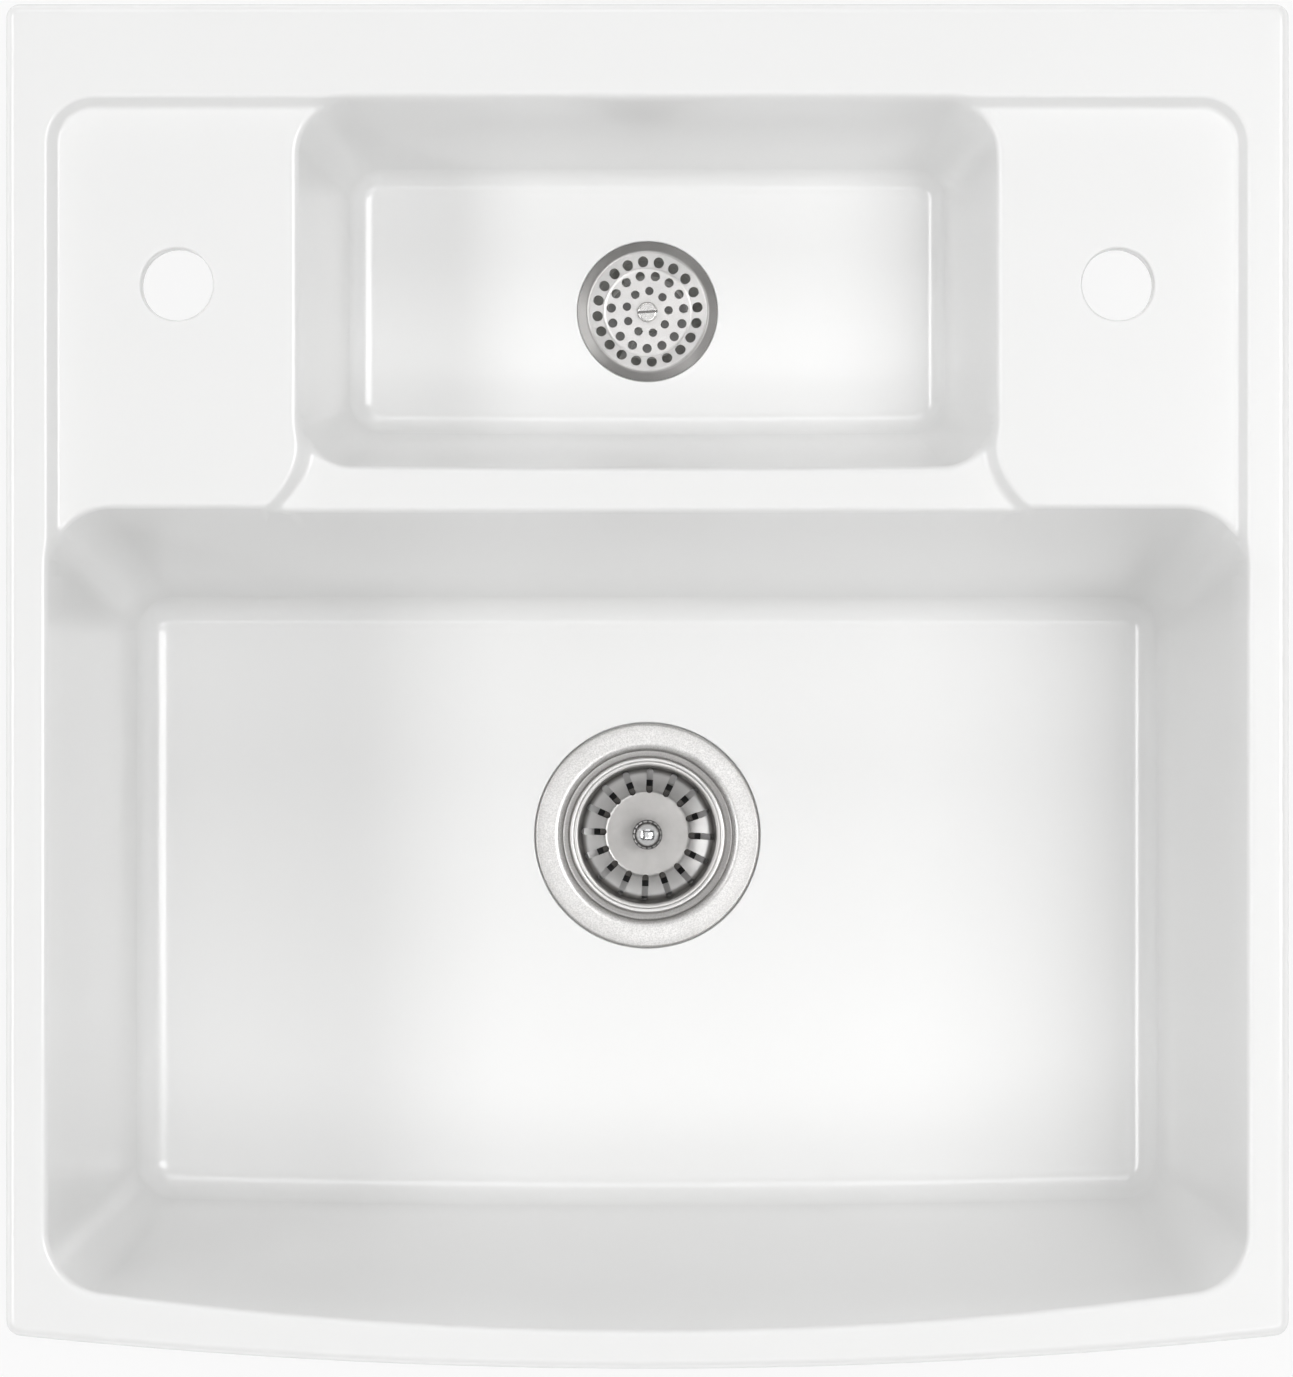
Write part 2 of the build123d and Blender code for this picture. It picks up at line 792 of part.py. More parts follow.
with BuildPart() as small_flange_seal:
    turned(
        small_axis_foot,
        (
            (grid_seal_inner, -small_seat_depth),
            (grid_seal_outer, -small_seat_depth),
            (grid_seal_outer, bevel_underside(grid_seal_outer)),
            (grid_seal_inner, bevel_underside(grid_seal_inner)),
        ),
    )
small_flange_seal.part.label = "small_flange_seal"
export_step(small_flange_seal.part, "parts/small_flange_seal.step")

with BuildPart() as small_under_seal:
    ring(
        small_axis_foot,
        small_mouth_radius,
        small_mouth_radius + housing_flange_overlap,
        small_housing_top,
        small_underside,
    )
small_under_seal.part.label = "small_under_seal"
export_step(small_under_seal.part, "parts/small_under_seal.step")

with BuildPart() as small_waste_housing:
    waste_housing(
        small_axis_foot,
        small_housing_top,
        small_mouth_radius,
        small_housing_radius,
        small_housing_shoulder,
        small_funnel_height,
        small_boss_top,
        (small_insert_radius, small_insert_length),
        small_rib_height,
    )
small_waste_housing.part.label = "small_waste_housing"
export_step(small_waste_housing.part, "parts/small_waste_housing.step")

with BuildPart() as small_clamp_screw:
    clamp_screw(
        small_axis_foot,
        grid_floor_top,
        small_boss_top - small_insert_length + screw_end_gap,
        small_screw_radius,
        small_screw_head_radius,
        small_screw_head_height,
    )
small_clamp_screw.part.label = "small_clamp_screw"
export_step(small_clamp_screw.part, "parts/small_clamp_screw.step")

with BuildPart() as small_screw_insert:
    ring(
        small_axis_foot,
        small_screw_radius + thread_clearance,
        small_insert_radius,
        small_boss_top - small_insert_length,
        small_boss_top,
    )
small_screw_insert.part.label = "small_screw_insert"
export_step(small_screw_insert.part, "parts/small_screw_insert.step")
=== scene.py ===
import json
from collections import namedtuple

import bmesh
import bpy
import numpy as np
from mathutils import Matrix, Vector
from mathutils.geometry import delaunay_2d_cdt
from mathutils.kdtree import KDTree

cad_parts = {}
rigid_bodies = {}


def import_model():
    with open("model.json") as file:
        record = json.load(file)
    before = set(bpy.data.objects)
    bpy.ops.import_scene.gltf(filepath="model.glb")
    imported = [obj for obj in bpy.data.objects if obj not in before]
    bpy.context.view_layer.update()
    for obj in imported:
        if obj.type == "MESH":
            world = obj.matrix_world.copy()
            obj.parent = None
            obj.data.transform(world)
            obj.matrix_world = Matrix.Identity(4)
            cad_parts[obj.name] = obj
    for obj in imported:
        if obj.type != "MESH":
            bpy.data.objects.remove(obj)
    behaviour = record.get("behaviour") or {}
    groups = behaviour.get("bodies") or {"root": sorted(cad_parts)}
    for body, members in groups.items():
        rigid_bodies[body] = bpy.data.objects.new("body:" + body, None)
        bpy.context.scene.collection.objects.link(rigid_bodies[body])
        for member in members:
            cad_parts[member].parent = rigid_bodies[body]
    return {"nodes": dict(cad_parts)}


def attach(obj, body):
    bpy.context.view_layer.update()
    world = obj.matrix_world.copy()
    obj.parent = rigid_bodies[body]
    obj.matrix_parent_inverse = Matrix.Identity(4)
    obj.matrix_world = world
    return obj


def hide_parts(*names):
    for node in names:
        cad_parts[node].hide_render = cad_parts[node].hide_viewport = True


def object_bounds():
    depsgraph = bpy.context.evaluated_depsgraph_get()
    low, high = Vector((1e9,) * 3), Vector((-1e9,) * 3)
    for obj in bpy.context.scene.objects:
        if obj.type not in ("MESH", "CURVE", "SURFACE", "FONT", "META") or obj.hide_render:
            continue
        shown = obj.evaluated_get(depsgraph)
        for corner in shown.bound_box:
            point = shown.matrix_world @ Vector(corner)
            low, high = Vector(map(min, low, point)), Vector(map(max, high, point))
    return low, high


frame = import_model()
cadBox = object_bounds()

scene = bpy.context.scene
metresPerMm = 0.001
photoHeight = 1377  # pixels
print("frame loaded:", len(frame["nodes"]), "nodes")


# shader sockets that take part in Python expressions
class Wire:
    def __init__(self, nodes, socket):
        self.nodes = nodes
        self.socket = socket

    def maths(self, operation, first, second):
        return self.nodes.node("ShaderNodeMath", {"operation": operation}, {0: first, 1: second})

    def __add__(self, other):
        return self.maths("ADD", self, other)

    def __sub__(self, other):
        return self.maths("SUBTRACT", self, other)

    def __rsub__(self, other):
        return self.maths("SUBTRACT", other, self)

    def __mul__(self, other):
        return self.maths("MULTIPLY", self, other)

    def __truediv__(self, other):
        return self.maths("DIVIDE", self, other)

    def __rtruediv__(self, other):
        return self.maths("DIVIDE", other, self)

    def __pow__(self, other):
        return self.maths("POWER", self, other)

    __radd__ = __add__
    __rmul__ = __mul__


def opaque(colour):  # a fixed colour gets its alpha
    return colour + (1,) if isinstance(colour, tuple) else colour


# one tree of shader nodes
class Nodes:
    def __init__(self, tree):
        self.tree = tree

    def feed(self, socket, value):
        if isinstance(value, Wire):
            self.tree.links.new(value.socket, socket)
        else:
            socket.default_value = value

    def node(self, kind, settings, sockets, output=0):
        made = self.tree.nodes.new(kind)
        for key, value in settings.items():
            if key == "stops":
                ramp = made.color_ramp
                while len(ramp.elements) < len(value):
                    ramp.elements.new(1)
                for element, (place, shade) in zip(ramp.elements, value):
                    element.position = place
                    element.color = (shade, shade, shade, 1)
            else:
                setattr(made, key, value)
        for key, value in sockets.items():
            self.feed(made.inputs[key], value)
        return Wire(self, made.outputs[output])

    def place(self):  # position in the frame, in metres
        return self.node("ShaderNodeTexCoord", {}, {}, "Object")

    def noise(self, scale, detail=2, rough=0.5):
        sockets = {"Vector": self.place(), "Scale": scale, "Detail": detail, "Roughness": rough}
        return self.node("ShaderNodeTexNoise", {}, sockets)

    def ramp(self, value, *stops):
        return self.node("ShaderNodeValToRGB", {"stops": stops}, {"Fac": value})

    def axes(self, vector):
        return [self.node("ShaderNodeSeparateXYZ", {}, {0: vector}, i) for i in range(3)]

    def mix(self, share, first, second):  # the colour sockets of the node: factor, A and B, result
        sockets = {0: share, 6: opaque(first), 7: opaque(second)}
        return self.node("ShaderNodeMix", {"data_type": "RGBA"}, sockets, 2)

    def bump(self, height, strength):
        sockets = {"Strength": strength, "Distance": 1.0, "Height": height}
        return self.node("ShaderNodeBump", {}, sockets)

    def joined(self, share, first, second, outputName):  # two shaders, up to the tree's output
        mixed = self.node("ShaderNodeMixShader", {}, {0: share, 1: first, 2: second})
        self.feed(self.tree.nodes[outputName].inputs["Surface"], mixed)


# one material on the main shader
class Finish(Nodes):
    def __init__(self, name, settings):
        self.material = bpy.data.materials.new(name)
        self.material.use_nodes = True
        super().__init__(self.material.node_tree)
        self.shader = self.tree.nodes["Principled BSDF"]
        for key, value in settings.items():
            self.set(key, value)

    def set(self, socket, value):
        self.feed(self.shader.inputs[socket], value)


# glazed ceramic: a clear coat over a faintly clouded white, bare clay on faces that look down
def makeGlaze():
    look = {
        "white": (0.84, 0.84, 0.837),
        "cloud": (0.833, 0.833, 0.828),
        "cloudScale": 7,
        "cloudRoughness": 0.04,
        "glossRoughness": 0.32,
        "coat": 0.6,
        "rippleScale": 55,  # waves of the glaze per metre
        "rippleHeight": 0.00010,
        "clay": (0.62, 0.585, 0.53),
        "claySpot": (0.50, 0.46, 0.40),
        "clayRoughness": 0.85,
        "grainScale": 900,
        "grainHeight": 0.00012,
        "edgeScale": 40,  # the glaze ends in an uneven line
        "edgeSpread": 0.16,
        "bareFacing": 0.55,  # how far a face has to look down to be bare
        "bump": 0.5,
    }
    finish = Finish("glaze", {"IOR": 1.5, "Coat Roughness": 0.12, "Coat IOR": 1.6})
    clouds = finish.noise(look["cloudScale"], 3)
    ripple = finish.noise(look["rippleScale"], 2)
    grain = finish.noise(look["grainScale"], 3, 0.6)
    normal = finish.node("ShaderNodeNewGeometry", {}, {}, "Normal")
    facing = finish.axes(normal)[2]
    edge = finish.noise(look["edgeScale"], 3) * look["edgeSpread"]
    bare = finish.ramp(facing + edge + look["bareFacing"], (0.0, 1), (0.05, 0))
    white = finish.mix(finish.ramp(clouds, (0.35, 0), (0.75, 1)), look["white"], look["cloud"])
    clay = finish.mix(finish.ramp(grain, (0.5, 0), (0.72, 1)), look["clay"], look["claySpot"])
    finish.set("Base Color", finish.mix(bare, white, clay))
    gloss = look["glossRoughness"] + (clouds - 0.5) * look["cloudRoughness"]
    finish.set("Roughness", gloss + bare * (look["clayRoughness"] - look["glossRoughness"]))
    finish.set("Coat Weight", (1 - bare) * look["coat"])
    height = ripple * look["rippleHeight"] + grain * bare * look["grainHeight"]
    finish.set("Normal", finish.bump(height, look["bump"]))
    return finish.material


# pressed or turned metal: fine rings round its own axis, faint blotches, fine grain,
# and zones of painted shade and painted light that are darker or brighter than the rest
def makeMetal(name, look):
    finish = Finish(name, {"Metallic": 1.0, "Specular Tint": look["edgeTint"]})
    x, y, z = finish.axes(finish.place())
    across = x - look["axis"][0]
    along = y - look["axis"][1]
    radius = (across * across + along * along) ** 0.5
    rings = finish.node(
        "ShaderNodeTexNoise",
        {"noise_dimensions": "1D"},
        {"W": radius * look["ringScale"] + z * look["ringScale"], "Detail": 4, "Roughness": 0.7},
    )
    grain = finish.noise(look["grainScale"], 3, 0.6)
    blotch = finish.noise(look["blotchScale"], 3, 0.55)
    colour = finish.mix(finish.ramp(blotch, (0.3, 0), (0.7, 1)), look["colour"], look["dull"])
    specks = finish.ramp(grain, (0.35, look["speckShare"]), (0.65, 0))
    colour = finish.mix(specks, colour, look["speck"])
    # painted shade and painted light, zone by zone
    for paintedZone in look["paintedZones"]:
        share = paintedZone.share
        for depth in (radius - paintedZone.inner, paintedZone.outer - radius, paintedZone.top - z):
            share = share * finish.ramp(depth / paintedZone.fade, (0, 0), (1, 1))
        colour = finish.mix(share, colour, paintedZone.colour)
    finish.set("Base Color", colour)
    spread = (rings - 0.5) * look["ringRoughness"] + (grain - 0.5) * look["grainRoughness"]
    spread = spread + (blotch - 0.5) * look["blotchRoughness"]
    finish.set("Roughness", look["roughness"] + spread)
    height = rings * look["ringHeight"] + grain * look["grainHeight"]
    finish.set("Normal", finish.bump(height, look["bump"]))
    return finish.material


# rubber and moulded plastic: fine grain, cloudy colour, a little bloom on top
def makeMoulded(name, look):
    finish = Finish(name, {"IOR": look["ior"]})
    grain = finish.noise(look["grainScale"], 4, 0.6)
    clouds = finish.ramp(finish.noise(look["cloudScale"], 3), (0.35, 0), (0.7, 1))
    finish.set("Base Color", finish.mix(clouds, look["colour"], look["bloom"]))
    finish.set("Roughness", look["roughness"] + (grain - 0.5) * look["grainRoughness"])
    finish.set("Normal", finish.bump(grain * look["grainHeight"], look["bump"]))
    return finish.material


mainAxis = (0.0, -0.0743)
smallAxis = (0.0, 0.1809)
# part of a piece between two radii and below a height, in metres, and the length over which it fades;
# its colour is painted shade or painted light
PaintedZone = namedtuple("PaintedZone", "inner outer top fade share colour")
noInner = -1.0  # painted zones without that limit
noOuter = 1.0
noTop = 0.0  # the wastes lie wholly below it
satinSteel = {
    "axis": mainAxis,
    "colour": (0.83, 0.82, 0.81),
    "dull": (0.77, 0.76, 0.75),
    "speck": (0.30, 0.295, 0.29),
    "speckShare": 0.42,
    "edgeTint": (1, 1, 1, 1),
    "roughness": 0.40,
    "ringScale": 900,
    "ringRoughness": 0.08,
    "ringHeight": 0.00002,
    "grainScale": 1400,
    "grainRoughness": 0.16,
    "grainHeight": 0.00005,
    "blotchScale": 90,
    "blotchRoughness": 0.06,
    "bump": 0.6,
    "paintedZones": [
        PaintedZone(0.0510, noOuter, noTop, 0.005, 0.35, (0.34, 0.33, 0.32)),  # painted shade on the border of the flange
        PaintedZone(noInner, 0.0370, -0.158, 0.001, 0.9, (0.97, 0.96, 0.95)),  # painted light on the inside of the cup, seen through the basket's slots
        PaintedZone(0.0360, 0.0450, -0.1515, 0.005, 0.75, (0.15, 0.14, 0.135)),  # painted shade in the groove
        PaintedZone(0.0360, 0.0402, -0.1535, 0.001, 0.75, (0.05, 0.045, 0.04)),  # painted shade, a darker line at the inner side of the groove
    ],
}
polishedSteel = {
    **satinSteel,
    "colour": (0.62, 0.61, 0.60),
    "dull": (0.55, 0.54, 0.53),
    "speck": (0.48, 0.47, 0.46),
    "speckShare": 0.35,
    "roughness": 0.22,
    "ringScale": 1400,
    "grainScale": 1800,
    "grainRoughness": 0.05,
    "grainHeight": 0.00001,
    "paintedZones": [PaintedZone(0.0150, noOuter, noTop, 0.002, 0.9, (0.06, 0.055, 0.05))],  # painted shade on the stopper plate
}
basketSteel = {
    **polishedSteel,
    "colour": (0.50, 0.49, 0.48),
    "dull": (0.42, 0.41, 0.40),
    "roughness": 0.36,
    "paintedZones": [
        PaintedZone(0.0205, 0.0330, noTop, 0.002, 0.9, (0.97, 0.96, 0.95)),  # painted light on the cone
        PaintedZone(0.0300, 0.0362, noTop, 0.003, 0.7, (0.16, 0.155, 0.15)),  # painted shade on the wall
        PaintedZone(0.0352, 0.0420, noTop, 0.001, 0.9, (0.74, 0.73, 0.72)),  # painted highlight on the bead
    ],
}
gridSteel = {
    **polishedSteel,
    "axis": smallAxis,
    "colour": (0.74, 0.73, 0.72),
    "dull": (0.66, 0.65, 0.64),
    "speck": (0.56, 0.55, 0.54),
    "roughness": 0.38,
    "paintedZones": [
        PaintedZone(0.0208, 0.0290, noTop, 0.001, 0.9, (0.98, 0.97, 0.96)),  # painted light on the dished ring
        PaintedZone(0.0280, 0.04, noTop, 0.0012, 0.8, (0.20, 0.195, 0.19)),  # painted shade on the border
    ],
}
chrome = {
    **polishedSteel,
    "colour": (0.78, 0.78, 0.78),
    "dull": (0.72, 0.72, 0.73),
    "speck": (0.66, 0.66, 0.66),
    "edgeTint": (0.25, 0.25, 0.25, 1),
    "roughness": 0.14,
    "ringRoughness": 0.03,
    "ringHeight": 0.000004,
    "paintedZones": [PaintedZone(noInner, noOuter, -0.1560, 0.005, 0.85, (0.12, 0.115, 0.11))],  # painted shade low on the ball
}
screwSteel = {**polishedSteel, "ringHeight": 0.00001}
smallScrewSteel = {
    **screwSteel,
    "axis": smallAxis,
    "colour": (0.86, 0.85, 0.84),
    "dull": (0.78, 0.77, 0.76),
    "paintedZones": [PaintedZone(noInner, noOuter, -0.0627, 0.0005, 0.9, (0.20, 0.195, 0.19))],  # painted shade in the slot
}
brass = {
    **screwSteel,
    "colour": (0.70, 0.50, 0.20),
    "dull": (0.52, 0.36, 0.15),
    "speck": (0.40, 0.27, 0.11),
    "roughness": 0.32,
    "paintedZones": [],
}
smallBrass = {**brass, "axis": smallAxis}
sealRubber = {
    "ior": 1.45,
    "colour": (0.030, 0.030, 0.031),
    "bloom": (0.055, 0.054, 0.052),
    "roughness": 0.72,
    "grainScale": 1500,
    "grainRoughness": 0.18,
    "grainHeight": 0.00010,
    "cloudScale": 30,
    "bump": 0.6,
}
stopperRubber = {**sealRubber, "colour": (0.07, 0.07, 0.072), "bloom": (0.10, 0.10, 0.098)}
housingPlastic = {
    **sealRubber,
    "ior": 1.48,
    "colour": (0.66, 0.66, 0.64),
    "bloom": (0.60, 0.60, 0.575),
    "roughness": 0.46,
    "grainScale": 1100,
    "grainRoughness": 0.14,
    "grainHeight": 0.00012,
}
bushPlastic = {**housingPlastic, "colour": (0.74, 0.74, 0.72), "roughness": 0.38}

nodeFinishes = (
    (makeMetal("satinSteel", satinSteel), ["main_strainer_cup"]),
    (makeMetal("basketSteel", basketSteel), ["basket_shell"]),
    (makeMetal("polishedSteel", polishedSteel), ["basket_stem", "basket_stopper_plate"]),
    (makeMetal("gridSteel", gridSteel), ["small_grid_strainer"]),
    (makeMetal("knobChrome", chrome), ["basket_knob"]),
    (makeMetal("screwSteel", screwSteel), ["main_clamp_screw", "basket_stem_nut"]),
    (makeMetal("smallScrewSteel", smallScrewSteel), ["small_clamp_screw"]),
    (makeMetal("insertBrass", brass), ["main_screw_insert"]),
    (makeMetal("smallInsertBrass", smallBrass), ["small_screw_insert"]),
    (
        makeMoulded("sealRubber", sealRubber),
        ["main_flange_seal", "main_under_seal", "small_flange_seal", "small_under_seal"],
    ),
    (makeMoulded("stopperRubber", stopperRubber), ["basket_stopper_seal"]),
    (makeMoulded("housingPlastic", housingPlastic), ["main_waste_housing", "small_waste_housing"]),
    (makeMoulded("bushPlastic", bushPlastic), ["basket_stem_bush"]),
)
for material, nodes in nodeFinishes:
    for nodeName in nodes:
        for slot in frame["nodes"][nodeName].material_slots:
            slot.material = material
print("finishes made:", len(nodeFinishes))


# plan outlines in millimetres: straight sides and back, bowed front, round corners
Outline = namedtuple("Outline", "half back front bow backRadius frontRadius")


def blend(upper, lower, share):
    return Outline(*(a + (b - a) * share for a, b in zip(upper, lower)))


def bowLimits(outline, x):  # depth of the bow at x, and the span of y in which it fades out
    shift = outline.bow * np.minimum(np.abs(x) / outline.half, 1.1) ** 2
    fade = (outline.back - outline.front) / 4
    return shift, outline.front + fade, outline.back - fade


def bend(outline, x, y):
    shift, low, high = bowLimits(outline, x)
    return y + shift * np.clip((high - y) / (high - low), 0, 1)


def straighten(outline, x, y):
    shift, low, high = bowLimits(outline, x)
    fading = (y * (high - low) - shift * high) / (high - low - shift)
    return np.where(y < low + shift, y - shift, np.where(y > high, y, fading))


def outlineDistance(outline, x, y):  # less than 0 inside
    y = straighten(outline, x, y)
    middle = (outline.back + outline.front) / 2
    radius = np.where(y > middle, outline.backRadius, outline.frontRadius)
    across = np.abs(x) - outline.half + radius
    along = np.abs(y - middle) - (outline.back - outline.front) / 2 + radius
    outside = np.hypot(np.maximum(across, 0), np.maximum(along, 0))
    return outside + np.minimum(np.maximum(across, along), 0) - radius


def outlinePoints(outline, counts):  # against the clock, from the left end of the front
    half, back, front, _, backRadius, frontRadius = outline
    x = []
    y = []
    corners = (
        (half - frontRadius, front + frontRadius, frontRadius, -90),
        (half - backRadius, back - backRadius, backRadius, 0),
        (backRadius - half, back - backRadius, backRadius, 90),
        (frontRadius - half, front + frontRadius, frontRadius, 180),
    )
    sides = (counts["front"], counts["side"], counts["back"], counts["side"])
    for i, (centreX, centreY, radius, start) in enumerate(corners):
        lastX, lastY, lastRadius, lastStart = corners[i - 1]
        turn = np.radians(start)
        begin = (lastX + lastRadius * np.cos(turn), lastY + lastRadius * np.sin(turn))
        end = (centreX + radius * np.cos(turn), centreY + radius * np.sin(turn))
        share = np.linspace(0, 1, sides[i], endpoint=False)
        x.append(begin[0] + (end[0] - begin[0]) * share)
        y.append(begin[1] + (end[1] - begin[1]) * share)
        angle = turn + np.linspace(0, np.pi / 2, counts["corner"], endpoint=False)
        x.append(centreX + radius * np.cos(angle))
        y.append(centreY + radius * np.sin(angle))
    x = np.concatenate(x)
    y = np.concatenate(y)
    return np.column_stack((x, bend(outline, x, y)))


def circlePoints(centre, radius, count):
    angle = np.linspace(0, 2 * np.pi, count, endpoint=False)
    return np.column_stack((centre[0] + radius * np.cos(angle), centre[1] + radius * np.sin(angle)))


# heights of the ceramic over the plan, as rounded cuts into a plateau
Basin = namedtuple("Basin", "upper lower top bottom edge toe")


def wallOf(basin, x, y):  # height of the sloping wall, carried on past its ends, and its slope
    halvings = 20
    step = 0.01  # of the way down the wall
    leastRun = 0.5
    grows = basin.lower.half > basin.upper.half
    low = np.zeros(x.shape)
    high = np.ones(x.shape)
    for _ in range(halvings):
        share = (low + high) / 2
        outside = outlineDistance(blend(basin.upper, basin.lower, share), x, y) > 0
        above = outside != grows
        high = np.where(above, share, high)
        low = np.where(above, low, share)
    higher, here, lower = (
        outlineDistance(blend(basin.upper, basin.lower, share + s), x, y) for s in (-step, 0, step)
    )
    fall = basin.top - basin.bottom
    slope = fall / np.maximum(np.abs(lower - higher) / (2 * step), leastRun)
    past = -here if grows else here  # distance past the wall's ends
    return basin.top - fall * share + slope * past, slope


def roundedToe(floor, wall, slope, radius):
    lean = np.arctan(slope)
    reach = radius * np.tan(lean / 2)
    gap = (wall - floor) / slope
    arc = floor + radius - np.sqrt(np.maximum(radius**2 - (gap + reach) ** 2, 0))
    return np.where(gap <= -reach, floor, np.where(gap >= reach * np.cos(lean), wall, arc))


def roundedEdge(plateau, wall, slope, radius):
    lean = np.arctan(slope)
    reach = radius * np.tan(lean / 2)
    gap = (wall - plateau) / slope
    arc = plateau - radius + np.sqrt(np.maximum(radius**2 - (reach - gap) ** 2, 0))
    return np.where(gap >= reach, plateau, np.where(gap <= -reach * np.cos(lean), wall, arc))


def cut(plateau, wall, slope, floor, edge, toe):
    return roundedEdge(plateau, roundedToe(floor, wall, slope, toe), slope, edge)


def cutBasin(plateau, basin, x, y):
    wall, slope = wallOf(basin, x, y)
    return cut(plateau, wall, slope, basin.bottom, basin.edge, basin.toe)


# rings of points that follow a basin's rounded edge, wall and rounded toe
ringLayout = {
    "plateauFrom": 4,  # where the height beside the basin is read, millimetres outside its mouth
    "before": 1.5,
    "edgeRings": 7,
    "toeRings": 8,
    "after": 3,
}


def basinRings(basin, plateauAt, counts):
    upper = outlinePoints(basin.upper, counts)
    lower = outlinePoints(basin.lower, counts)
    run = np.linalg.norm(lower - upper, axis=1)
    way = (lower - upper) / run[:, None]
    slope = (basin.top - basin.bottom) / run
    lean = np.arctan(slope)
    outer = upper - way * ringLayout["plateauFrom"]
    begin = (basin.top - plateauAt(outer[:, 0], outer[:, 1])) / slope
    edgeReach = basin.edge * np.tan(lean / 2)
    toeReach = basin.toe * np.tan(lean / 2)
    steps = [begin - edgeReach - ringLayout["before"]]
    for share in np.linspace(0, 1, ringLayout["edgeRings"]):
        steps.append(begin - edgeReach + basin.edge * np.sin(lean * share))
    wallBegin = steps[-1]
    wallEnd = run + toeReach - basin.toe * np.sin(lean)
    for share in np.linspace(0, 1, counts["wall"] + 2)[1:-1]:
        steps.append(wallBegin + (wallEnd - wallBegin) * share)
    for share in np.linspace(1, 0, ringLayout["toeRings"]):
        steps.append(run + toeReach - basin.toe * np.sin(lean * share))
    steps.append(run + toeReach + ringLayout["after"])
    return [upper + way * step[:, None] for step in steps]


def slopesOf(surface, x, y):
    step = 0.05  # millimetres
    alongX = (surface(x + step, y) - surface(x - step, y)) / (2 * step)
    alongY = (surface(x, y + step) - surface(x, y - step)) / (2 * step)
    return alongX, alongY


# one side of the ceramic in plan: rows of points along its edges, and points that fill the rest
class Sheet:
    def __init__(self, surface):
        self.surface = surface
        self.points = np.empty((0, 2))
        self.edges = []
        self.loops = []

    def addRow(self, row, keep, joined=True):  # neighbours in the row are joined
        places = np.where(keep, len(self.points) + np.cumsum(keep) - 1, -1)
        self.points = np.concatenate((self.points, row[keep]))
        if joined:
            pairs = zip(places.tolist(), np.roll(places, -1).tolist())
            self.edges.extend((a, b) for a, b in pairs if a >= 0 and b >= 0)
        return places

    def addLoop(self, points):
        self.loops.append(self.addRow(points, np.ones(len(points), bool)))

    def addRows(self, rows, clearance, *tests, joined=True):
        tree = KDTree(len(self.points))
        for i, (x, y) in enumerate(self.points):
            tree.insert((x, y, 0), i)
        tree.balance()
        for row in rows:
            keep = np.array([tree.find((x, y, 0))[2] > clearance for x, y in row])
            for test in tests:
                keep &= test(row[:, 0], row[:, 1])
            self.addRow(row, keep, joined)

    def triangles(self):
        mergeDistance = 1e-5
        plan = [Vector(point) for point in self.points]
        found = delaunay_2d_cdt(plan, self.edges, [], 0, mergeDistance)
        corners = np.array([v[:] for v in found[0]])
        source = {old: new for new, olds in enumerate(found[3]) for old in olds}
        loops = [[source[i] for i in loop.tolist()] for loop in self.loops]
        return corners, np.array(found[2]), loops

    def refine(self, tolerance, shortest):  # more points where the faces miss the surface
        corners, triangles, _ = self.triangles()
        sides = np.concatenate([triangles[:, pair] for pair in ((0, 1), (1, 2), (2, 0))])
        sides = np.unique(np.sort(sides, axis=1), axis=0)
        ends = corners[sides]
        middles = ends.mean(axis=1)
        heights = self.surface(*corners.T)[sides].mean(axis=1)
        gaps = np.abs(self.surface(*middles.T) - heights)
        wanted = (gaps > tolerance) & (np.linalg.norm(ends[:, 0] - ends[:, 1], axis=1) > shortest)
        middles = middles[wanted]
        slope = np.hypot(*slopesOf(self.surface, *middles.T))
        middles = middles[gaps[wanted] > tolerance * np.hypot(1, slope)]
        self.points = np.concatenate((self.points, middles))


# one closed mesh, gathered from sheets and bridges between loops
class Casting:
    def __init__(self):
        self.points = []
        self.normals = []
        self.faces = []

    def addPoints(self, plan, heights, normals=None):  # without normals, the faces give them
        first = len(self.points)
        self.points.extend((x, y, z) for (x, y), z in zip(plan, heights))
        self.normals.extend(np.zeros((len(plan), 3)) if normals is None else normals)
        return list(range(first, len(self.points)))

    def bridge(self, upper, lower):
        for i in range(len(upper)):
            j = (i + 1) % len(upper)
            self.faces.append((upper[i], lower[i], lower[j], upper[j]))


